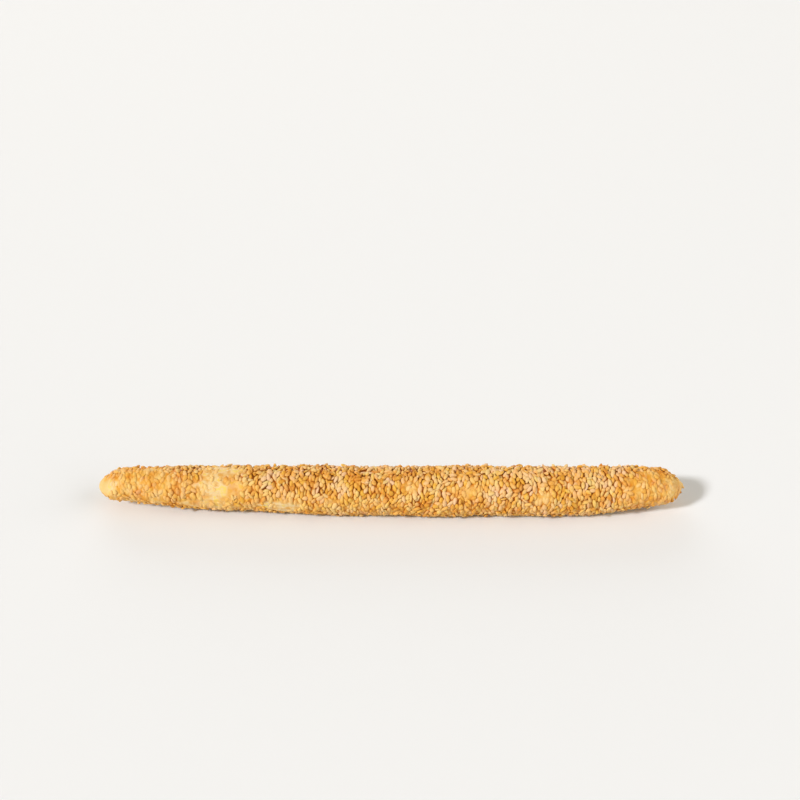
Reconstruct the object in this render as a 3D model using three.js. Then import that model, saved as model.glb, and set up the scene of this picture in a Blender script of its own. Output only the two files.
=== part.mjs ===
// A sesame candy stick: a rod of pulled malt candy, rolled in toasted sesame
// while it was soft, pinched off at both ends and laid down to set.
// Millimetres, +Z up. The stick lies along X, its front is towards -Y, and the
// origin is under its middle, on the surface that it lies on.
import * as THREE from "three";

const { clamp, degToRad, euclideanModulo, lerp, seededRandom, smoothstep } = THREE.MathUtils;

// The rod, measured over its seeds
const STICK_LENGTH = 223.5;
const STICK_THICKNESS = 19.5;
const AXIS_HEIGHT = 8.1; // less than half the thickness: the underside has set flat

// The rod thins towards each tip: the share that it has lost at the tip, and
// the length over which that loss dies away
const LEFT_THINNING = { share: 0.39, length: 47 };
const RIGHT_THINNING = { share: 0.38, length: 20 };

// It thins mostly in front and below: for each millimetre that the half
// thickness loses, the axis moves this far back and up
const BEND_BACK = 1.3;
const BEND_UP = 0.4;

// Each tip is pinched to a blunt edge that lies level: the length of the nose,
// the thickness of its edge against the rod's just behind it, and its swell,
// which below 1 makes the nose fuller than a straight wedge
const LEFT_NOSE = { length: 6, edge: 0.54, swell: 1.3 };
const RIGHT_NOSE = { length: 7, edge: 0.2, swell: 0.65 };
const EDGE_ROUNDING = 3;
const PINCH_REACH = 9;
const PINCH_SPREAD = 0.15; // wider by this share at the edge
const PINCH_SQUASH = 0.25; // flatter by this share at the edge
const PINCH_DROP = 1.9; // the edge lies this much lower than the rod's axis

// Unevenness left by pulling and rolling the rod by hand: waves that wind
// round it, each with its height, its length and its turns round the rod
const LUMPS = [
  { height: 0.16, length: 47, turns: 2, phase: 0.4 },
  { height: 0.12, length: 29, turns: -3, phase: 1.7 },
  { height: 0.14, length: 83, turns: 1, phase: 2.9 },
];

// The seeds lie side by side, mostly across the stick, and stand out of the candy
const SEED_RISE = 0.8;
const SEEDS_AROUND = 15;
const SEED_PITCH = 2.5; // along the stick, from a seed to the next in its row
const RISE_RANGE = [0.65, 1.25]; // the lowest and highest seed against SEED_RISE
const GROOVE_RANGE = [-0.1, 0.15]; // where the candy between seeds lies
const SCATTER = 0.27; // how far a seed strays, against half its pitch
const COAT_RUN = 8; // the coat has its full height this far behind a tip
const RANDOM_SEED = 2311;

// Places where the candy shows bare: the centre along the stick, the angle
// round it in degrees (0 in front, 90 on top), and the half length and half width
const BARE_PATCHES = [
  { along: -69, around: 50, halfLength: 9, halfWidth: 7.2 },
  { along: -42, around: -6, halfLength: 7, halfWidth: 3.4 },
  { along: 28, around: 33, halfLength: 4, halfWidth: 2.6 },
  { along: -14, around: 196, halfLength: 8, halfWidth: 3.6 },
  { along: 61, around: 158, halfLength: 10, halfWidth: 4.2 },
];
const BARE_TIP = 3.5;

const CANDY_COLOUR = 0xe5ad5e;
const CANDY_ROUGHNESS = 0.6;

// Share of the full thickness that is left at a distance from one tip
function thinning(distance, { share, length }) {
  return 1 - share * Math.exp(-distance / length);
}

// A wedge that ends in a rounded edge: 0 at the tip itself, 1 past the nose
function nose(distance, { length, edge, swell }) {
  const run = clamp(distance / length, 0, 1);
  const short = 1 - clamp(distance / EDGE_ROUNDING, 0, 1);
  return lerp(edge, 1, run ** swell) * Math.sqrt(1 - short ** 2);
}

// Half the rod's thickness at a place along it, before its tips are pinched
function rodRadius(along) {
  const left = thinning(STICK_LENGTH / 2 + along, LEFT_THINNING);
  const right = thinning(STICK_LENGTH / 2 - along, RIGHT_THINNING);
  return (STICK_THICKNESS / 2) * left * right;
}

// Half the stick's thickness at a place along it, with its noses
function halfThickness(along) {
  const left = nose(STICK_LENGTH / 2 + along, LEFT_NOSE);
  const right = nose(STICK_LENGTH / 2 - along, RIGHT_NOSE);
  return rodRadius(along) * left * right;
}

// How far the rod swells or dips at a place, fading out into the tips
function unevenness(along, angle) {
  const tipDistance = STICK_LENGTH / 2 - Math.abs(along);
  const fade = smoothstep(tipDistance, 0, 2 * COAT_RUN);
  const swell = LUMPS.reduce((sum, { height, length, turns, phase }) => {
    return sum + height * Math.sin((2 * Math.PI * along) / length + turns * angle + phase);
  }, 0);
  return fade * swell;
}

// 1 where seeds cover the candy, 0 in the middle of a bare patch and at the tips
function cover(along, angle) {
  const tipDistance = STICK_LENGTH / 2 - Math.abs(along);
  const tipCover = smoothstep(tipDistance, 0.5 * BARE_TIP, 1.5 * BARE_TIP);
  return BARE_PATCHES.reduce((least, patch) => {
    const turn = euclideanModulo(angle - degToRad(patch.around) + Math.PI, 2 * Math.PI) - Math.PI;
    const sideways = (turn * STICK_THICKNESS) / 2 / patch.halfWidth;
    const lengthways = (along - patch.along) / patch.halfLength;
    return Math.min(least, smoothstep(Math.hypot(sideways, lengthways), 0.7, 1.2));
  }, tipCover);
}

// A point of the stick's skin, at a height over the level of the bare candy
function skinPoint(along, angle, height) {
  const tipDistance = STICK_LENGTH / 2 - Math.abs(along);
  const pinch = Math.exp(-((tipDistance / PINCH_REACH) ** 2));
  const candy = Math.max(halfThickness(along) - SEED_RISE * smoothstep(tipDistance, 0, COAT_RUN), 0);
  const reach = candy + unevenness(along, angle) + height;
  const loss = STICK_THICKNESS / 2 - rodRadius(along);
  const back = BEND_BACK * loss;
  const y = back - reach * (1 + PINCH_SPREAD * pinch) * Math.cos(angle);
  const axis = AXIS_HEIGHT + BEND_UP * loss - PINCH_DROP * pinch;
  const z = axis + reach * (1 - PINCH_SQUASH * pinch) * Math.sin(angle);
  return new THREE.Vector3(along, y, Math.max(z, 0));
}

// The skin is a net of rings in which every second point is the top of a seed,
// like the dark squares of a chequerboard, and the points between are grooves
function seededSkin() {
  const pointsAround = 2 * SEEDS_AROUND;
  const rings = Math.round((2 * STICK_LENGTH) / SEED_PITCH) - 1;
  const ringStep = STICK_LENGTH / (rings + 1);
  const angleStep = (2 * Math.PI) / pointsAround;
  const isSeed = (ring, spot) => (ring + spot) % 2 === 0;
  const index = (ring, spot) => ring * pointsAround + (spot % pointsAround);
  const stray = () => SCATTER * (2 * seededRandom() - 1);

  const points = [];
  for (let ring = 0; ring < rings; ring += 1) {
    for (let spot = 0; spot < pointsAround; spot += 1) {
      const along = (ring + 1 + stray()) * ringStep - STICK_LENGTH / 2;
      const angle = (spot + stray()) * angleStep;
      const rise = SEED_RISE * lerp(...RISE_RANGE, seededRandom());
      const groove = lerp(...GROOVE_RANGE, seededRandom());
      const height = cover(along, angle) * (isSeed(ring, spot) ? rise : groove);
      points.push(skinPoint(along, angle, height));
    }
  }
  const leftTip = points.push(skinPoint(-STICK_LENGTH / 2, 0, 0)) - 1;
  const rightTip = points.push(skinPoint(STICK_LENGTH / 2, 0, 0)) - 1;

  const triangles = [];
  for (let spot = 0; spot < pointsAround; spot += 1) {
    triangles.push(leftTip, index(0, spot), index(0, spot + 1));
    triangles.push(rightTip, index(rings - 1, spot + 1), index(rings - 1, spot));
    for (let ring = 0; ring < rings - 1; ring += 1) {
      const here = index(ring, spot);
      const beside = index(ring, spot + 1);
      const ahead = index(ring + 1, spot);
      const across = index(ring + 1, spot + 1);
      // The fold runs from groove to groove, so that each seed stands alone
      if (isSeed(ring, spot)) {
        triangles.push(here, ahead, beside, beside, ahead, across);
      } else {
        triangles.push(here, ahead, across, here, across, beside);
      }
    }
  }

  const skin = new THREE.BufferGeometry().setFromPoints(points);
  skin.setIndex(triangles);
  return skin;
}

// Moves a shape so that its box stands centred on the origin
function standOnOrigin(geometry) {
  geometry.computeBoundingBox();
  const { min, max } = geometry.boundingBox;
  geometry.translate(-(min.x + max.x) / 2, -(min.y + max.y) / 2, -min.z);
  geometry.computeVertexNormals();
  return geometry;
}

seededRandom(RANDOM_SEED);
const candyStick = new THREE.Mesh(
  standOnOrigin(seededSkin()),
  new THREE.MeshStandardMaterial({ color: CANDY_COLOUR, roughness: CANDY_ROUGHNESS, metalness: 0 }),
);
candyStick.name = "candy_stick";

const part = new THREE.Group();
part.name = "sesame_candy_stick";
part.add(candyStick);

export default part;
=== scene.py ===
import math

import bpy
import numpy as np
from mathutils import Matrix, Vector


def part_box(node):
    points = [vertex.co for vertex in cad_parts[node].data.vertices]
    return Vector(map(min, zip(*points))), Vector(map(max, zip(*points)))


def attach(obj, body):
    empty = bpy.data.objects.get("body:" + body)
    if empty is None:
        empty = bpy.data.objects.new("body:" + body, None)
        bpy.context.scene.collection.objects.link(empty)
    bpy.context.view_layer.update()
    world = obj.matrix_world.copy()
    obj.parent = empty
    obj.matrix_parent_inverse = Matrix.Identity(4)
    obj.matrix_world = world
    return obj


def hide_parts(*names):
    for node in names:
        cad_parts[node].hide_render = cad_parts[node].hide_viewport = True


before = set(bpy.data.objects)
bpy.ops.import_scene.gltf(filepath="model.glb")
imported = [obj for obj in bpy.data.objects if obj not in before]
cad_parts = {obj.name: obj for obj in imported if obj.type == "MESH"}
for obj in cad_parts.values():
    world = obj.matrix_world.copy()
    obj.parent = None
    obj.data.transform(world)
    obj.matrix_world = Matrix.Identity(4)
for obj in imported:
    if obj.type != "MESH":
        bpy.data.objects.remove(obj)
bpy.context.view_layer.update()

# Shapes are worked out in millimetres and radians, and stored in metres
MM = 0.001
TURN = 2 * math.pi

# The rod, measured over its seeds; it lies on an underside that has set flat
low_corner, high_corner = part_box("candy_stick")
STICK_LENGTH = (high_corner.x - low_corner.x) / MM
HALF_LENGTH = STICK_LENGTH / 2
STICK_THICKNESS = 19.5
AXIS_HEIGHT = 8.1
FLAT_EDGE = 0.5

# It thins towards each tip, by a share that dies away over a length, and for each millimetre that
# its half thickness loses, its axis bends this far back and up
LEFT_THINNING = {"share": 0.39, "length": 47.0}
RIGHT_THINNING = {"share": 0.38, "length": 20.0}
BEND_BACK = 1.3
BEND_UP = 0.4

# Each tip is pinched to a blunt level edge: the nose's length, its edge's thickness against the
# rod's just behind it, and its swell, which below 1 makes it fuller than a straight wedge
LEFT_NOSE = {"length": 6.0, "edge": 0.54, "swell": 1.3}
RIGHT_NOSE = {"length": 7.0, "edge": 0.2, "swell": 0.65}
EDGE_ROUNDING = 3.0
PINCH_REACH = 9.0
PINCH_SPREAD = 0.15
PINCH_SQUASH = 0.25
PINCH_DROP = 1.9

# Unevenness left by rolling the rod by hand, and the coat of seeds, which thins out at the tips
LUMPS = (
    {"height": 0.16, "length": 47.0, "turns": 2, "phase": 0.4},
    {"height": 0.12, "length": 29.0, "turns": -3, "phase": 1.7},
    {"height": 0.14, "length": 83.0, "turns": 1, "phase": 2.9},
)
COAT_THICKNESS = 0.8
COAT_RUN = 8.0

# Places where the candy shows or has run over the seeds: the centre along the stick and, in
# degrees from the front over the top, round it; the half length and half width; and, from 0 to 1,
# how bare of seeds the candy is there and how thickly it has run over those that stay
PATCHES = (
    {"along": -66.4, "around": 35.0, "half_length": 6.4, "half_width": 4.6, "bare": 1.0, "glaze": 1.0},
    {"along": -64.5, "around": 88.0, "half_length": 7.2, "half_width": 4.0, "bare": 0.9, "glaze": 1.0},
    {"along": -68.0, "around": -16.0, "half_length": 10.0, "half_width": 3.6, "bare": 0.5, "glaze": 1.0},
    {"along": -76.5, "around": 40.0, "half_length": 5.0, "half_width": 5.0, "bare": 0.1, "glaze": 0.6},
    {"along": -59.0, "around": 34.0, "half_length": 4.2, "half_width": 4.6, "bare": 0.4, "glaze": 0.95},
    {"along": -98.0, "around": 20.0, "half_length": 17.0, "half_width": 11.0, "bare": 0.0, "glaze": 0.9},
    {"along": -41.5, "around": -12.0, "half_length": 7.5, "half_width": 3.4, "bare": 1.0, "glaze": 1.0},
    {"along": -20.0, "around": -34.0, "half_length": 90.0, "half_width": 7.0, "bare": 0.0, "glaze": 0.6},
    {"along": 7.4, "around": 50.0, "half_length": 3.0, "half_width": 2.2, "bare": 0.15, "glaze": 0.8},
    {"along": 28.0, "around": 36.0, "half_length": 5.0, "half_width": 2.6, "bare": 0.3, "glaze": 0.9},
    {"along": 56.5, "around": 17.0, "half_length": 3.5, "half_width": 2.2, "bare": 0.1, "glaze": 0.8},
    {"along": 102.0, "around": 40.0, "half_length": 2.6, "half_width": 2.0, "bare": 0.25, "glaze": 0.9},
    {"along": 100.0, "around": 20.0, "half_length": 13.0, "half_width": 9.0, "bare": 0.0, "glaze": 0.9},
    {"along": -109.0, "around": 38.0, "half_length": 5.8, "half_width": 4.2, "bare": 1.0, "glaze": 1.0},
    {"along": 109.0, "around": 40.0, "half_length": 5.0, "half_width": 5.0, "bare": 0.5, "glaze": 1.0},
    {"along": -14.0, "around": 196.0, "half_length": 8.0, "half_width": 3.6, "bare": 0.9, "glaze": 1.0},
    {"along": 61.0, "around": 158.0, "half_length": 10.0, "half_width": 4.2, "bare": 1.0, "glaze": 1.0},
    {"along": -86.0, "around": 148.0, "half_length": 5.0, "half_width": 2.6, "bare": 0.3, "glaze": 0.9},
)
PATCH_EDGE_WAVES = ({"height": 0.13, "count": 3}, {"height": 0.09, "count": 7})
BARE_FALL = (0.7, 1.2)
GLAZE_FALL = (0.8, 1.6)

# Distances from a tip over which the candy stops being bare, run over the seeds, and plain cream
TIP_BARE_FALL = (0.6, 2.4)
TIP_GLAZE_FALL = (2.0, 6.0)
TIP_CREAM_FALL = (3.0, 8.0)

# Strands that pulling leaves along the candy: their height, their number round the rod, and
# the length and size of their sway
STRANDS = (
    {"height": 0.05, "count": 17, "sway_length": 61.0, "sway": 1.9, "phase": 0.3},
    {"height": 0.045, "count": 29, "sway_length": 43.0, "sway": 2.6, "phase": 2.2},
    {"height": 0.035, "count": 47, "sway_length": 27.0, "sway": 3.1, "phase": 4.1},
)
STRANDS_UNDER_SEEDS = 0.4

# The candy's swell where it has run over the seeds, and the rings and spokes of its mesh
CANDY_SWELL = 0.42
ROD_RINGS = 560
ROD_SPOKES = 160
CLOSER_AT_TIPS = 0.15

# Sesame seeds: their mean size, its spread and the most spreads that one is off, and their form
SEED_LENGTH = 3.1
SEED_WIDTH = 1.75
SEED_DEPTH = 1.0
SIZE_SPREAD = 0.11
MOST_SPREADS = 2.0
SEED_NARROWING = 0.2
SEED_SHARPNESS = 0.3
SEED_BEND = 0.05
SEED_RINGS = 4
SEED_SPOKES = 6
BAKE_CELL_MARGIN = 0.1

# How the seeds are toasted: the two powers of its spread from seed to seed, and how much browner
# their points are; and how much painted shade darkens their rims
TOAST_POWERS = (1.65, 2.3)
POINT_BROWNING = 0.2
POINT_REACH = (0.2, 1.0)
RIM_PAINTED_SHADE = 0.12

# How the seeds lie: most of them across the rod; angles are in radians, heights over the candy
ACROSS_SHARE = 0.88
HEADING_SPREAD = 0.42
SEED_SEAT = 0.2
SEAT_SPREAD = 0.2
LOWEST_SEAT = -0.65
CROWDED_RISE = 0.1
CROWDING_LIMIT = 1.5
ROLL_SPREAD = 0.48
PITCH_SPREAD = 0.24
WILD_SHARE = 0.08
WILD_FACTOR = 1.8

# Where the candy has run over them or is bare, seeds have sunk, lie calmer or are gone
GLAZE_SINK = 0.2
GLAZE_CALM = 0.5
BARE_SINK = 0.14
TIP_SINK = 0.85
DROWNED_SHARE = 0.4
KEPT_FALL = (0.1, 0.8)

# Some more seeds lie on top of others
UPPER_SHARE = 0.08
UPPER_RISE = 0.5
UPPER_STRAY = 1.0
UPPER_TURN = (0.6, 2.5)

# How the seeds settle side by side: each counts as three discs, placed by its length and sized
# by its width, and all seeds together have this many times the area that they cover
DISC_OFFSETS = np.array([-0.26, 0.02, 0.3])
DISC_RADII = np.array([0.44, 0.5, 0.33])
SEED_COVER = 1.35
TIP_MARGIN = 1.0
SEEDED_REACH = HALF_LENGTH - TIP_MARGIN
SETTLING_ROUNDS = 40
SETTLING_RATE = 0.15
TURNING_RATE = 6.0
LARGEST_TURN = 0.25
ROUNDS_A_LIST = 5
NEIGHBOURS = 12
SMALLEST_GAP = 1e-6
RANDOM_SEED = 2311

# The skin's directions come from points this far to either side, in millimetres and radians
SKIN_STEP = 0.02

# The blotches of the candy that has run over the seeds: how many to a metre, and which pattern
BLOTCHES = {"Blotch Scale": 260.0, "Pattern": 3.7}

# How many finer layers each kind of noise has
MOTTLE_LAYERS = 3.0
BLOTCH_LAYERS = 2.0
STRAND_LAYERS = 4.0


def smooth_step(value, start, stop):
    """0 before start, 1 after stop, and 3t^2 - 2t^3 of the share t of the way between them."""
    share = np.clip((value - start) / (stop - start), 0.0, 1.0)
    return share * share * (3.0 - 2.0 * share)


def thinning(distance, share, length):
    """1 less a share that dies away exponentially with the distance from a tip."""
    return 1.0 - share * np.exp(-distance / length)


def nose(distance, length, edge, swell):
    """A wedge that rises as a power of the distance, times a quarter circle that rounds its edge."""
    run = np.clip(distance / length, 0.0, 1.0)
    short = 1.0 - np.clip(distance / EDGE_ROUNDING, 0.0, 1.0)
    return (edge + (1.0 - edge) * run**swell) * np.sqrt(1.0 - short**2)


def rod_radius(along):
    """Half the full thickness, times the thinning counted from each tip."""
    left = thinning(np.clip(HALF_LENGTH + along, 0.0, None), **LEFT_THINNING)
    right = thinning(np.clip(HALF_LENGTH - along, 0.0, None), **RIGHT_THINNING)
    return STICK_THICKNESS / 2 * left * right


def half_thickness(along):
    """The rod's radius, times the nose counted from each tip."""
    left = nose(np.clip(HALF_LENGTH + along, 0.0, None), **LEFT_NOSE)
    right = nose(np.clip(HALF_LENGTH - along, 0.0, None), **RIGHT_NOSE)
    return rod_radius(along) * left * right


def unevenness(along, angle):
    """Sine waves that wind round the rod, faded out towards the tips."""
    swell = sum(
        wave["height"] * np.sin(TURN * along / wave["length"] + wave["turns"] * angle + wave["phase"])
        for wave in LUMPS
    )
    return smooth_step(HALF_LENGTH - np.abs(along), 0.0, 2 * COAT_RUN) * swell


def axis_shift():
    """How far the bent rod moves in Y so that its outline over the seeds lies centred on Y = 0."""
    along = np.linspace(-HALF_LENGTH, HALF_LENGTH, ROD_RINGS)
    back = BEND_BACK * (STICK_THICKNESS / 2 - rod_radius(along))
    reach = half_thickness(along)
    return -((back + reach).max() + (back - reach).min()) / 2


AXIS_SHIFT = axis_shift()


def skin_point(along, angle, height):
    """A point on an ellipse round the axis. Its reach is the candy's half thickness, the
    unevenness and a height over the candy. Pinching widens, flattens and lowers the ellipse as a
    bell curve towards each tip; the axis bends back and up with the thinning. Below, the ellipse
    passes into a level floor by a smooth maximum. Angle 0 is in front, a quarter turn on top."""
    tip_distance = HALF_LENGTH - np.abs(along)
    pinch = np.exp(-((tip_distance / PINCH_REACH) ** 2))
    coat = COAT_THICKNESS * smooth_step(tip_distance, 0.0, COAT_RUN)
    reach = np.maximum(half_thickness(along) - coat, 0.0) + unevenness(along, angle) + height
    loss = STICK_THICKNESS / 2 - rod_radius(along)
    axis = AXIS_HEIGHT + BEND_UP * loss - PINCH_DROP * pinch
    y = AXIS_SHIFT + BEND_BACK * loss - reach * (1.0 + PINCH_SPREAD * pinch) * np.cos(angle)
    z = axis + reach * (1.0 - PINCH_SQUASH * pinch) * np.sin(angle)
    floor = COAT_THICKNESS - height
    z = (z + floor + np.sqrt((z - floor) ** 2 + FLAT_EDGE**2)) / 2
    return np.stack(np.broadcast_arrays(along, y, z), axis=-1)


def skin_frame(along, angle, height):
    """The point, its unit directions along, round and out of the skin, by central differences,
    and the millimetres that one radian takes there."""
    ahead, behind = along + SKIN_STEP, along - SKIN_STEP
    lengthways = skin_point(ahead, angle, height) - skin_point(behind, angle, height)
    over, under = angle + SKIN_STEP, angle - SKIN_STEP
    crossways = skin_point(along, over, height) - skin_point(along, under, height)
    girth = np.linalg.norm(crossways, axis=-1) / (2 * SKIN_STEP)
    lengthways /= np.linalg.norm(lengthways, axis=-1, keepdims=True)
    outward = np.cross(lengthways, crossways)
    outward /= np.linalg.norm(outward, axis=-1, keepdims=True)
    point = skin_point(along, angle, height)
    return point, lengthways, np.cross(outward, lengthways), outward, girth


def turned_from(angle, start):
    """The turn from one angle to another, between half a turn back and half a turn on."""
    return np.mod(angle - start + math.pi, TURN) - math.pi


def patch_fields(along, angle):
    """How bare of seeds the candy is, and how far it has run over them, each from 0 to 1: smooth
    falls of the distance from the middle of each patch, counted in its half length and half width
    and waved round its edge. The strongest patch counts, and the tips are bare too."""
    tip_distance = HALF_LENGTH - np.abs(along)
    bare = 1.0 - smooth_step(tip_distance, *TIP_BARE_FALL)
    glaze = 1.0 - smooth_step(tip_distance, *TIP_GLAZE_FALL)
    for patch in PATCHES:
        turn = turned_from(angle, math.radians(patch["around"]))
        sideways = turn * rod_radius(patch["along"]) / patch["half_width"]
        lengthways = (along - patch["along"]) / patch["half_length"]
        direction = np.arctan2(sideways, lengthways)
        distance = np.hypot(sideways, lengthways)
        for wave in PATCH_EDGE_WAVES:
            distance = distance + wave["height"] * np.sin(wave["count"] * direction + patch["along"])
        bare = np.maximum(bare, patch["bare"] * (1.0 - smooth_step(distance, *BARE_FALL)))
        glaze = np.maximum(glaze, patch["glaze"] * (1.0 - smooth_step(distance, *GLAZE_FALL)))
    return bare, glaze


def strands(along, angle):
    """Ridges along the rod: sines of the angle whose phase sways with the place along it."""
    ridges = 0.0
    for strand in STRANDS:
        sway = strand["sway"] * np.sin(TURN * along / strand["sway_length"] + strand["phase"])
        ridges = ridges + strand["height"] * np.sin(strand["count"] * angle + strand["phase"] + sway)
    return ridges


def closed_net(ring_count, spoke_count):
    """A skin of rings of points between two end points, numbered from one end to the other: its
    four-sided faces, its end fans, and for each face corner a place in a unit square, x from end
    to end and y round the rings."""
    ring, spoke = np.meshgrid(np.arange(ring_count - 1), np.arange(spoke_count), indexing="ij")
    steps = np.array([[0, 0], [0, 1], [1, 1], [1, 0]])
    at_ring = ring.ravel()[:, None] + steps[:, 0]
    at_spoke = spoke.ravel()[:, None] + steps[:, 1]
    quads = 1 + at_ring * spoke_count + at_spoke % spoke_count
    quad_map = np.stack([(at_ring + 1) / (ring_count + 1), at_spoke / spoke_count], axis=-1)
    here = np.arange(spoke_count)
    ahead = here + 1
    last = 1 + (ring_count - 1) * spoke_count
    end = np.full(spoke_count, last + spoke_count)
    first_fan = np.stack([0 * here, 1 + ahead % spoke_count, 1 + here], axis=-1)
    last_fan = np.stack([end, last + here, last + ahead % spoke_count], axis=-1)
    inset = np.full(spoke_count, 1.0 / (ring_count + 1))
    fan_x = np.stack([0 * inset, inset, inset], axis=-1)
    first_y = np.stack([here + 0.5, ahead, here], axis=-1) / spoke_count
    last_y = np.stack([here + 0.5, here, ahead], axis=-1) / spoke_count
    first_map = np.stack([fan_x, first_y], axis=-1)
    last_map = np.stack([1.0 - fan_x, last_y], axis=-1)
    return quads, np.concatenate([first_fan, last_fan]), quad_map, np.concatenate([first_map, last_map])


def add_piece(name, points, quads, triangles, corner_map, attributes, material):
    """A mesh object from whole arrays: points in millimetres, faces as rows of point numbers, a
    place on the bake map for each face corner, and named numbers for each point."""
    corners = np.concatenate([quads.ravel(), triangles.ravel()])
    sizes = np.concatenate([np.full(len(quads), 4), np.full(len(triangles), 3)])
    mesh = bpy.data.meshes.new(name)
    mesh.vertices.add(len(points))
    mesh.vertices.foreach_set("co", (points * MM).astype(np.float32).ravel())
    mesh.loops.add(len(corners))
    mesh.loops.foreach_set("vertex_index", corners.astype(np.int32))
    mesh.polygons.add(len(sizes))
    mesh.polygons.foreach_set("loop_start", (np.cumsum(sizes) - sizes).astype(np.int32))
    mesh.polygons.foreach_set("use_smooth", np.ones(len(sizes), bool))
    mesh.update(calc_edges=True)
    layer = mesh.uv_layers.new(name="OFBake", do_init=False)
    layer.uv.foreach_set("vector", corner_map.astype(np.float32).ravel())
    for label, values in attributes.items():
        numbers = mesh.attributes.new(label, "FLOAT", "POINT")
        numbers.data.foreach_set("value", values.astype(np.float32))
    mesh.validate()
    mesh.materials.append(material)
    piece = bpy.data.objects.new(name, mesh)
    bpy.context.collection.objects.link(piece)
    return piece


def spread_sizes(draws, mean, count):
    """Sizes round a mean, normally spread and cut off at a number of spreads."""
    spreads = np.clip(draws.normal(0.0, 1.0, count), -MOST_SPREADS, MOST_SPREADS)
    return mean * (1.0 + SIZE_SPREAD * spreads)


def strewn_seeds(draws):
    """Seeds over the whole rod, before they settle: on a spiral that gives each the same area, with
    a golden share of a turn from one to the next, and most of them across the rod."""
    stations = np.linspace(-SEEDED_REACH, SEEDED_REACH, ROD_RINGS)
    girths = TURN * (half_thickness(stations) - COAT_THICKNESS / 2)
    area_so_far = np.cumsum(girths) * (stations[1] - stations[0])
    count = round(SEED_COVER * area_so_far[-1] / (math.pi / 4 * SEED_LENGTH * SEED_WIDTH))
    order = np.arange(count)
    golden_share = (math.sqrt(5.0) - 1.0) / 2.0
    area_before = (order + draws.random(count)) / count * area_so_far[-1]
    across_the_rod = TURN / 4 + draws.normal(0.0, HEADING_SPREAD, count)
    lies_across = draws.random(count) < ACROSS_SHARE
    heading = np.where(lies_across, across_the_rod, draws.uniform(0.0, TURN, count))
    return {
        "along": np.interp(area_before, area_so_far, stations),
        "angle": TURN * np.mod(order * golden_share, 1.0),
        "heading": heading + math.pi * draws.integers(0, 2, count),
        "length": spread_sizes(draws, SEED_LENGTH, count),
        "width": spread_sizes(draws, SEED_WIDTH, count),
    }


def nearest_seeds(place):
    """For each seed the numbers of its nearest neighbours, by the square of their distance."""
    squares = (place**2).sum(axis=1)
    apart = squares[:, None] + squares[None, :] - 2.0 * place @ place.T
    np.fill_diagonal(apart, np.inf)
    return np.argpartition(apart, NEIGHBOURS, axis=1)[:, :NEIGHBOURS]


def seed_axis(seeds, lengthways, crossways):
    """The unit direction of each seed's length: its heading, turned from along to round the rod."""
    heading = seeds["heading"][:, None]
    return np.cos(heading) * lengthways + np.sin(heading) * crossways


def settled_seeds(draws):
    """Strewn seeds, pushed side by side. Each round moves and turns every seed by a share of the
    overlaps of its discs with those of its nearest neighbours."""
    seeds = strewn_seeds(draws)
    offset = seeds["length"][:, None] * DISC_OFFSETS
    radius = seeds["width"][:, None] * DISC_RADII
    for settling_round in range(SETTLING_ROUNDS):
        place, lengthways, crossways, outward, girth = skin_frame(seeds["along"], seeds["angle"], SEED_SEAT)
        if settling_round % ROUNDS_A_LIST == 0:
            near = nearest_seeds(place)
        axis = seed_axis(seeds, lengthways, crossways)
        discs = place[:, None, :] + offset[:, :, None] * axis[:, None, :]
        between = discs[:, None, :, None, :] - discs[near][:, :, None, :, :]
        distance = np.linalg.norm(between, axis=-1) + SMALLEST_GAP
        touching = radius[:, None, :, None] + radius[near][:, :, None, :]
        overlap = np.clip(touching - distance, 0.0, None)
        push = (SETTLING_RATE * (overlap / distance)[..., None] * between).sum(axis=(1, 3))
        move = push.sum(axis=1)
        twist = (offset[:, :, None] * np.cross(axis[:, None, :], push)).sum(axis=1)
        turn = TURNING_RATE * (twist * outward).sum(axis=1) / seeds["length"] ** 2
        along = seeds["along"] + (move * lengthways).sum(axis=1)
        seeds["along"] = np.clip(along, -SEEDED_REACH, SEEDED_REACH)
        seeds["angle"] = seeds["angle"] + (move * crossways).sum(axis=1) / girth
        seeds["heading"] = seeds["heading"] + np.clip(turn, -LARGEST_TURN, LARGEST_TURN)
    seeds["crowding"] = overlap.sum(axis=(1, 2, 3))
    return seeds


def chosen(seeds, choice):
    """The seeds of a choice, with all their values."""
    return {name: values[choice] for name, values in seeds.items()}


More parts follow.
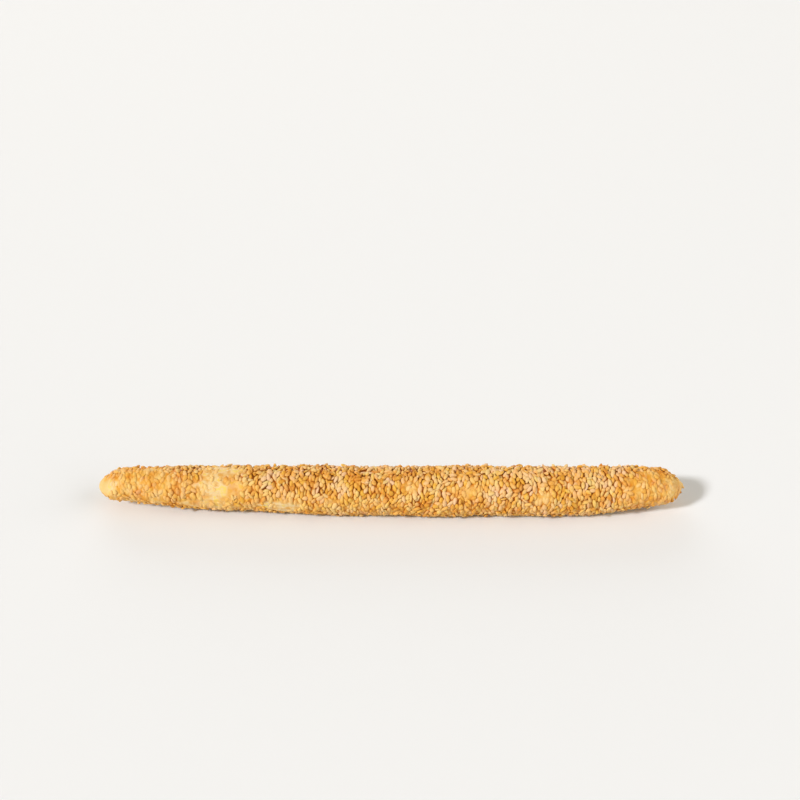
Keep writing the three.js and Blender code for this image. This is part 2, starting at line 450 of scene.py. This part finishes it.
def placed_seeds(draws):
    """The settled seeds with their seat, roll and pitch, some more of them on top of others. Where
    the candy is bare, most seeds are gone and the rest have sunk into it. Those that would lie
    wholly inside it are left out."""
    seeds = settled_seeds(draws)
    count = len(seeds["along"])
    bare, glaze = patch_fields(seeds["along"], seeds["angle"])
    seeds["bare"] = bare
    seeds["glaze"] = glaze
    crowded = CROWDED_RISE * np.clip(seeds["crowding"], 0.0, CROWDING_LIMIT)
    coated = smooth_step(HALF_LENGTH - np.abs(seeds["along"]), 0.0, COAT_RUN)
    sunk = GLAZE_SINK * glaze + BARE_SINK * bare + TIP_SINK * (1.0 - coated)
    seeds["seat"] = SEED_SEAT + draws.normal(0.0, SEAT_SPREAD, count) + crowded - sunk
    wild = np.where(draws.random(count) < WILD_SHARE, WILD_FACTOR, 1.0) * (1.0 - GLAZE_CALM * glaze)
    seeds["roll"] = wild * draws.normal(0.0, ROLL_SPREAD, count)
    seeds["pitch"] = wild * draws.normal(0.0, PITCH_SPREAD, count)
    kept = draws.random(count) < 1.0 - (1.0 - DROWNED_SHARE) * smooth_step(bare, *KEPT_FALL)
    kept &= seeds["seat"] - CANDY_SWELL * glaze * coated > LOWEST_SEAT
    seeds = chosen(seeds, kept)
    upper = chosen(seeds, (draws.random(kept.sum()) < UPPER_SHARE) & (seeds["glaze"] == 0.0))
    upper_count = len(upper["along"])
    upper["along"] += draws.normal(0.0, UPPER_STRAY, upper_count)
    upper["angle"] += draws.normal(0.0, UPPER_STRAY, upper_count) / rod_radius(upper["along"])
    upper["heading"] += draws.uniform(*UPPER_TURN, upper_count)
    upper["seat"] += UPPER_RISE
    return {name: np.concatenate([values, upper[name]]) for name, values in seeds.items()}


def seed_outline(stretch):
    """Half the width of a seed along its length, from -1 at the round end to 1 at the point: a
    circle's root of 1 - t^2, narrowed in a straight line and, past the middle, by the square."""
    circle = np.sqrt(np.clip(1.0 - stretch**2, 0.0, None))
    sharpened = 1.0 - SEED_SHARPNESS * np.clip(stretch, 0.0, None) ** 2
    return circle * (1.0 - SEED_NARROWING * stretch) * sharpened


def seed_form():
    """One seed's points in a cube from -1 to 1: rings of circles whose size follows the outline,
    between two end points."""
    bands = -np.cos(np.pi * np.arange(1, SEED_RINGS + 1) / (SEED_RINGS + 1))
    spokes = TURN * np.arange(SEED_SPOKES) / SEED_SPOKES
    x = np.concatenate([[-1.0], np.repeat(bands, SEED_SPOKES), [1.0]])
    y = np.concatenate([[0.0], np.outer(seed_outline(bands), np.cos(spokes)).ravel(), [0.0]])
    z = np.concatenate([[0.0], np.outer(seed_outline(bands), np.sin(spokes)).ravel(), [0.0]])
    return x, y, z


def turned(one, other, angle):
    """Two coordinates after a turn in their plane, from the first towards the second."""
    return np.cos(angle) * one - np.sin(angle) * other, np.sin(angle) * one + np.cos(angle) * other


def seed_points(seeds, draws):
    """Every seed's points: the form stretched to its size, bent a little by a parabola, turned by
    the seed's roll, pitch and heading, set on the skin at its seat, and lifted where it would go
    below the level that the stick lies on."""
    x, y, z = seed_form()
    count = len(seeds["along"])
    depth = spread_sizes(draws, SEED_DEPTH, count)
    bend = draws.normal(0.0, SEED_BEND, count)
    long = 0.5 * seeds["length"][:, None] * x
    wide = 0.5 * seeds["width"][:, None] * y
    deep = 0.5 * depth[:, None] * z + bend[:, None] * (x**2 - 0.5)
    wide, deep = turned(wide, deep, seeds["roll"][:, None])
    long, deep = turned(long, deep, seeds["pitch"][:, None])
    place, lengthways, crossways, outward, _ = skin_frame(seeds["along"], seeds["angle"], seeds["seat"])
    axis = seed_axis(seeds, lengthways, crossways)
    side = np.cross(outward, axis)
    points = place[:, None, :] + long[:, :, None] * axis[:, None, :]
    points += wide[:, :, None] * side[:, None, :] + deep[:, :, None] * outward[:, None, :]
    points[:, :, 2] -= np.minimum(points[:, :, 2].min(axis=1), 0.0)[:, None]
    return points


def make_seeds(seeds, draws, material):
    """All seeds as one joined mesh. Each has a cell of its own on the bake map, a toasting that is
    browner at its point, painted shade that darkens its rim and is added to the toasting, a hue,
    and how bare and how glazed its place is."""
    points = seed_points(seeds, draws)
    count, points_each, _ = points.shape
    quads, triangles, quad_map, fan_map = closed_net(SEED_RINGS, SEED_SPOKES)
    first = points_each * np.arange(count)[:, None, None]
    cells = math.ceil(math.sqrt(count))
    cell = np.stack([np.arange(count) % cells, np.arange(count) // cells], axis=-1)[:, None, None, :]
    corner_map = [
        ((cell + BAKE_CELL_MARGIN + (1.0 - 2.0 * BAKE_CELL_MARGIN) * square) / cells).reshape(-1, 2)
        for square in (quad_map, fan_map)
    ]
    stretch, _, crown = seed_form()
    point = smooth_step(stretch, *POINT_REACH)
    # Painted shade: each seed's rim is drawn browner as if shaded by the candy and its neighbours, added to
    # its toasting
    rim_shade = (1.0 - np.abs(crown)) ** 2
    toast_and_rim_shade = draws.beta(*TOAST_POWERS, count)[:, None] + POINT_BROWNING * point + RIM_PAINTED_SHADE * rim_shade
    return add_piece(
        "sesame_seeds",
        points.reshape(-1, 3),
        (first + quads).reshape(-1, 4),
        (first + triangles).reshape(-1, 3),
        np.concatenate(corner_map),
        {
            "toast_and_rim_shade": toast_and_rim_shade.ravel(),
            "hue": np.repeat(draws.random(count), points_each),
            "bare": np.repeat(seeds["bare"], points_each),
            "glaze": np.repeat(seeds["glaze"], points_each),
        },
        material,
    )


def make_rod(material):
    """The candy: rings along the rod, closer together towards its tips by a cosine, and a point at
    each tip. It swells where it has run over the seeds, and has strands along it."""
    run = np.arange(1, ROD_RINGS + 1) / (ROD_RINGS + 1)
    eased = 0.5 - 0.5 * np.cos(np.pi * run)
    along = STICK_LENGTH * ((1.0 - CLOSER_AT_TIPS) * run + CLOSER_AT_TIPS * eased) - HALF_LENGTH
    angle = -TURN * np.arange(ROD_SPOKES) / ROD_SPOKES
    along, angle = np.meshgrid(along, angle, indexing="ij")
    bare, glaze = patch_fields(along, angle)
    shown_strands = STRANDS_UNDER_SEEDS + (1.0 - STRANDS_UNDER_SEEDS) * bare
    relief = CANDY_SWELL * glaze + strands(along, angle) * shown_strands
    height = relief * smooth_step(HALF_LENGTH - np.abs(along), 0.0, COAT_RUN)
    tips = skin_point(np.array([-HALF_LENGTH, HALF_LENGTH]), np.zeros(2), np.zeros(2))
    points = np.concatenate([tips[:1], skin_point(along, angle, height).reshape(-1, 3), tips[1:]])
    tip = 1.0 - smooth_step(HALF_LENGTH - np.abs(along), *TIP_CREAM_FALL)
    fields = {"bare": bare, "glaze": glaze, "tip": tip}
    attributes = {name: np.concatenate([[1.0], field.ravel(), [1.0]]) for name, field in fields.items()}
    quads, triangles, quad_map, fan_map = closed_net(ROD_RINGS, ROD_SPOKES)
    corner_map = np.concatenate([quad_map.reshape(-1, 2), fan_map.reshape(-1, 2)])
    return add_piece("pulled_candy", points, quads, triangles, corner_map, attributes, material)


def add_node(tree, kind, inputs=None, **settings):
    """A shader node with its settings, its inputs set to values or joined to other outputs."""
    node = tree.nodes.new(kind)
    for name, value in settings.items():
        setattr(node, name, value)
    for name, value in (inputs or {}).items():
        if isinstance(value, bpy.types.NodeSocket):
            tree.links.new(value, node.inputs[name])
        else:
            node.inputs[name].default_value = value
    return node


def calculated(tree, operation, *operands):
    """The output of a maths node, held between 0 and 1."""
    inputs = dict(enumerate(operands))
    return add_node(tree, "ShaderNodeMath", inputs, operation=operation, use_clamp=True).outputs[0]


def attribute(tree, name):
    """The output that gives a mesh attribute's number."""
    return add_node(tree, "ShaderNodeAttribute", attribute_name=name).outputs["Fac"]


def spread(tree, value, low, high):
    """The output that spreads 0 to 1 over a range from low to high."""
    inputs = {"Value": value, "To Min": low, "To Max": high}
    return add_node(tree, "ShaderNodeMapRange", inputs).outputs["Result"]


def ramp(tree, value, stops):
    """The output of a colour ramp whose stops are each a place and a linear colour."""
    node = add_node(tree, "ShaderNodeValToRGB", {"Fac": value})
    elements = node.color_ramp.elements
    while len(elements) < len(stops):
        elements.new(0.5)
    for element, (place, colour) in zip(elements, stops):
        element.position = place
        element.color = (*colour, 1.0)
    return node.outputs["Color"]


def mixed(tree, factor, one, other):
    """The output that goes from one colour to another."""
    node = add_node(tree, "ShaderNodeMix", data_type="RGBA")
    sockets = {socket.identifier: socket for socket in node.inputs}
    for name, value in (("Factor_Float", factor), ("A_Color", one), ("B_Color", other)):
        if isinstance(value, bpy.types.NodeSocket):
            tree.links.new(value, sockets[name])
        elif isinstance(value, tuple):
            sockets[name].default_value = (*value, 1.0)
        else:
            sockets[name].default_value = value
    return next(output for output in node.outputs if output.identifier == "Result_Color")


def mottle_group():
    """Three sizes of soft noise on the piece's own coordinates: zones, patches and fine grain."""
    group = bpy.data.node_groups.new("candy mottle", "ShaderNodeTree")
    sizes = ("Zone", "Patch", "Grain")
    for size in sizes:
        group.interface.new_socket(f"{size} Scale", in_out="INPUT", socket_type="NodeSocketFloat")
        group.interface.new_socket(size, in_out="OUTPUT", socket_type="NodeSocketFloat")
    into = add_node(group, "NodeGroupInput")
    out = add_node(group, "NodeGroupOutput")
    place = add_node(group, "ShaderNodeTexCoord").outputs["Object"]
    for size in sizes:
        inputs = {"Vector": place, "Scale": into.outputs[f"{size} Scale"], "Detail": MOTTLE_LAYERS}
        noise = add_node(group, "ShaderNodeTexNoise", inputs)
        group.links.new(noise.outputs["Fac"], out.inputs[size])
    return group


def blotch_group():
    """Candy that has run over the seeds: soft noise on the piece's own coordinates makes blotches
    of orange, gold and cream."""
    group = bpy.data.node_groups.new("candy blotches", "ShaderNodeTree")
    for name in BLOTCHES:
        group.interface.new_socket(name, in_out="INPUT", socket_type="NodeSocketFloat")
    group.interface.new_socket("Colour", in_out="OUTPUT", socket_type="NodeSocketColor")
    into = add_node(group, "NodeGroupInput")
    out = add_node(group, "NodeGroupOutput")
    place = add_node(group, "ShaderNodeTexCoord").outputs["Object"]
    inputs = {
        "Vector": place,
        "W": into.outputs["Pattern"],
        "Scale": into.outputs["Blotch Scale"],
        "Detail": BLOTCH_LAYERS,
    }
    noise = add_node(group, "ShaderNodeTexNoise", inputs, noise_dimensions="4D").outputs["Fac"]
    orange_to_cream = (
        (0.36, (0.66, 0.25, 0.018)),
        (0.46, (0.74, 0.37, 0.052)),
        (0.54, (0.76, 0.43, 0.09)),
        (0.64, (0.8, 0.54, 0.19)),
    )
    group.links.new(ramp(group, noise, orange_to_cream), out.inputs["Colour"])
    return group


def new_material(name):
    """An empty node material and its node tree."""
    material = bpy.data.materials.new(name)
    material.use_nodes = True
    material.node_tree.nodes.clear()
    return material, material.node_tree


def add_surface(tree, inputs):
    """A Principled shader with its inputs, joined to the material's output."""
    shader = add_node(tree, "ShaderNodeBsdfPrincipled", inputs)
    add_node(tree, "ShaderNodeOutputMaterial", {"Surface": shader.outputs["BSDF"]})


def toasted_colour(tree, mottled):
    """Ivory to golden brown, from seed to seed and in soft zones, and browner at the rims, where
    this is painted shade. The paler a seed is, the more it is tinged with a hue of its own, from
    yellow to pink."""
    zone_toasting, patch_toasting = 1.2, 0.25
    pale_tinge, brown_tinge = 0.55, 0.15
    ivory_to_brown = (
        (0.0, (0.78, 0.59, 0.38)),
        (0.35, (0.76, 0.475, 0.185)),
        (0.65, (0.75, 0.36, 0.03)),
        (1.0, (0.54, 0.19, 0.004)),
    )
    yellow_to_pink = ((0.0, (0.73, 0.54, 0.09)), (0.5, (0.76, 0.47, 0.16)), (1.0, (0.79, 0.46, 0.27)))
    by_zone = spread(tree, mottled["Zone"], -zone_toasting, zone_toasting)
    by_patch = spread(tree, mottled["Patch"], -patch_toasting, patch_toasting)
    toast_and_rim_shade = calculated(tree, "ADD", attribute(tree, "toast_and_rim_shade"), by_zone)
    toast_and_rim_shade = calculated(tree, "ADD", toast_and_rim_shade, by_patch)
    hue = ramp(tree, attribute(tree, "hue"), yellow_to_pink)
    tinge = spread(tree, toast_and_rim_shade, pale_tinge, brown_tinge)
    return mixed(tree, tinge, ramp(tree, toast_and_rim_shade, ivory_to_brown), hue)


def sesame_material(mottle, blotches):
    """Toasted hulled sesame, faintly wrinkled. It takes on the candy's blotches in some zones and
    where candy has run over it, and cream where it has sunk into bare candy."""
    run_over_share, sunk_share = 0.7, 0.6
    blotched_zones = {"From Min": 0.5, "From Max": 0.7, "To Max": 0.5}
    smoothest, roughest = 0.42, 0.62
    sunk_cream = (0.82, 0.6, 0.27)
    material, tree = new_material("toasted_sesame")
    scales = {"Zone Scale": 140.0, "Patch Scale": 900.0, "Grain Scale": 5200.0}
    mottled = add_node(tree, "ShaderNodeGroup", scales, node_tree=mottle).outputs
    blotched = add_node(tree, "ShaderNodeGroup", BLOTCHES, node_tree=blotches).outputs["Colour"]
    in_zones = add_node(tree, "ShaderNodeMapRange", {"Value": mottled["Zone"], **blotched_zones})
    run_over = calculated(tree, "MULTIPLY", attribute(tree, "glaze"), run_over_share)
    coating = calculated(tree, "MAXIMUM", run_over, in_zones.outputs["Result"])
    coated = mixed(tree, coating, toasted_colour(tree, mottled), blotched)
    sunk = calculated(tree, "MULTIPLY", attribute(tree, "bare"), sunk_share)
    wrinkles = {"Strength": 0.25, "Distance": 0.00008, "Height": mottled["Grain"]}
    surface = {
        "Base Color": mixed(tree, sunk, coated, sunk_cream),
        "Roughness": spread(tree, mottled["Grain"], smoothest, roughest),
        "Normal": add_node(tree, "ShaderNodeBump", wrinkles).outputs["Normal"],
        "Specular IOR Level": 0.2,
    }
    add_surface(tree, surface)
    return material


def bare_colour(tree, mottled, strand):
    """Bare candy: tan, cream and yellow in patches, paler along its strands, plain at the tips."""
    least_strand, most_strand = -0.2, 0.5
    strand_cream, tip_cream = (0.75, 0.57, 0.31), (0.7, 0.5, 0.19)
    tan_to_yellow = (
        (0.36, (0.64, 0.32, 0.06)),
        (0.45, (0.72, 0.485, 0.2)),
        (0.54, (0.75, 0.58, 0.33)),
        (0.63, (0.78, 0.57, 0.09)),
    )
    patched = ramp(tree, mottled["Patch"], tan_to_yellow)
    stranded = mixed(tree, spread(tree, strand, least_strand, most_strand), patched, strand_cream)
    return mixed(tree, attribute(tree, "tip"), stranded, tip_cream)


def candy_material(mottle, blotches):
    """Pulled malt candy: amber under the seeds, darkened there as painted shade for the gaps between
    them, blotched where it has run over them and cream where it is bare, with fine strands along
    the stick and a soft sugary gloss."""
    strand_height = 0.4
    strand_scale = (60.0, 900.0, 900.0)
    smoothest, roughest = 0.32, 0.55
    # Painted shade: the candy under the seeds, seen only in the gaps between them, is partly its own amber
    # and partly darkened brown to stand in for the shade there
    brown_to_amber = ((0.3, (0.44, 0.12, 0.006)), (0.7, (0.6, 0.22, 0.02)))
    material, tree = new_material("pulled_malt_candy")
    scales = {"Zone Scale": 160.0, "Patch Scale": 420.0, "Grain Scale": 3400.0}
    mottled = add_node(tree, "ShaderNodeGroup", scales, node_tree=mottle).outputs
    blotched = add_node(tree, "ShaderNodeGroup", BLOTCHES, node_tree=blotches).outputs["Colour"]
    place = add_node(tree, "ShaderNodeTexCoord").outputs["Object"]
    drawn_out = add_node(tree, "ShaderNodeMapping", {"Vector": place, "Scale": strand_scale})
    threads = {"Vector": drawn_out.outputs["Vector"], "Scale": 1.0, "Detail": STRAND_LAYERS}
    strand = add_node(tree, "ShaderNodeTexNoise", threads).outputs["Fac"]
    amber_and_gap_shade = ramp(tree, mottled["Patch"], brown_to_amber)
    under_seeds = mixed(tree, attribute(tree, "glaze"), amber_and_gap_shade, blotched)
    in_the_open = bare_colour(tree, mottled, strand)
    raised_strand = calculated(tree, "MULTIPLY", strand, strand_height)
    uneven = calculated(tree, "ADD", raised_strand, mottled["Patch"])
    ridges = {"Strength": 0.5, "Distance": 0.0006, "Height": uneven}
    surface = {
        "Base Color": mixed(tree, attribute(tree, "bare"), under_seeds, in_the_open),
        "Roughness": spread(tree, mottled["Grain"], smoothest, roughest),
        "Normal": add_node(tree, "ShaderNodeBump", ridges).outputs["Normal"],
        "Specular IOR Level": 0.25,
    }
    add_surface(tree, surface)
    return material


def make_floor():
    """A plain pale floor, wide enough to fill the view."""
    material, tree = new_material("pale_floor")
    add_surface(tree, {"Base Color": (0.78, 0.82, 0.9, 1.0), "Roughness": 0.9})
    half_side = 4.0
    just_below = -0.00005
    signs = ((-1, -1), (1, -1), (1, 1), (-1, 1))
    corners = [(half_side * x, half_side * y, just_below) for x, y in signs]
    mesh = bpy.data.meshes.new("floor")
    mesh.from_pydata(corners, [], [(0, 1, 2, 3)])
    mesh.materials.append(material)
    floor = bpy.data.objects.new("floor", mesh)
    bpy.context.collection.objects.link(floor)


def make_room():
    """Warm soft light from all round, with a pale wall in sight past the floor."""
    world = bpy.data.worlds.new("studio")
    world.use_nodes = True
    tree = world.node_tree
    tree.nodes.clear()
    warm_light = {"Color": (1.0, 0.87, 0.64, 1.0), "Strength": 0.38}
    pale_wall = {"Color": (0.93, 0.91, 0.87, 1.0), "Strength": 1.0}
    light, wall = (
        add_node(tree, "ShaderNodeBackground", inputs).outputs["Background"]
        for inputs in (warm_light, pale_wall)
    )
    in_sight = add_node(tree, "ShaderNodeLightPath").outputs["Is Camera Ray"]
    shown = add_node(tree, "ShaderNodeMixShader", {0: in_sight, 1: light, 2: wall})
    add_node(tree, "ShaderNodeOutputWorld", {"Surface": shown.outputs["Shader"]})
    bpy.context.scene.world = world


def make_suns():
    """A key light from the front left and, weaker and broad, one from the right and one from
    behind; angles are in degrees."""
    sunlight = (1.0, 0.97, 0.92)
    suns = (
        {"name": "key", "energy": 3.0, "breadth": 9.0, "from_zenith": 58.0, "to_the_left": 60.0},
        {"name": "fill", "energy": 2.0, "breadth": 60.0, "from_zenith": 74.0, "to_the_left": -78.0},
        {"name": "back", "energy": 1.3, "breadth": 50.0, "from_zenith": 78.0, "to_the_left": 165.0},
    )
    for sun in suns:
        light = bpy.data.lights.new(sun["name"], "SUN")
        light.energy = sun["energy"]
        light.angle = math.radians(sun["breadth"])
        light.color = sunlight
        light_object = bpy.data.objects.new(sun["name"], light)
        tilt = math.radians(sun["from_zenith"])
        light_object.rotation_euler = (tilt, 0.0, -math.radians(sun["to_the_left"]))
        bpy.context.collection.objects.link(light_object)


def make_camera():
    """The photo's view: a level camera in front of the stick that looks down on it."""
    pitch_down = math.radians(33.0)
    focal_pixels = 940.0
    picture_pixels = 800.0
    to_the_right, in_front, above = 0.0034, 0.2796, 0.2312
    camera = bpy.data.cameras.new("camera")
    camera.sensor_width = 36.0
    camera.lens = camera.sensor_width * focal_pixels / picture_pixels
    camera_object = bpy.data.objects.new("camera", camera)
    camera_object.location = (to_the_right, AXIS_SHIFT * MM - in_front, above)
    camera_object.rotation_euler = (math.pi / 2 - pitch_down, 0.0, 0.0)
    bpy.context.collection.objects.link(camera_object)
    bpy.context.scene.camera = camera_object


draws = np.random.default_rng(RANDOM_SEED)
mottle = mottle_group()
blotches = blotch_group()
candy_piece = make_rod(candy_material(mottle, blotches))
seed_piece = make_seeds(placed_seeds(draws), draws, sesame_material(mottle, blotches))
for piece, slot in ((candy_piece, "pulled_candy"), (seed_piece, "sesame_seeds")):
    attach(piece, "root")
    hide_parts("candy_stick")

make_floor()
make_room()
make_suns()
make_camera()
bpy.context.scene.view_settings.view_transform = "Standard"
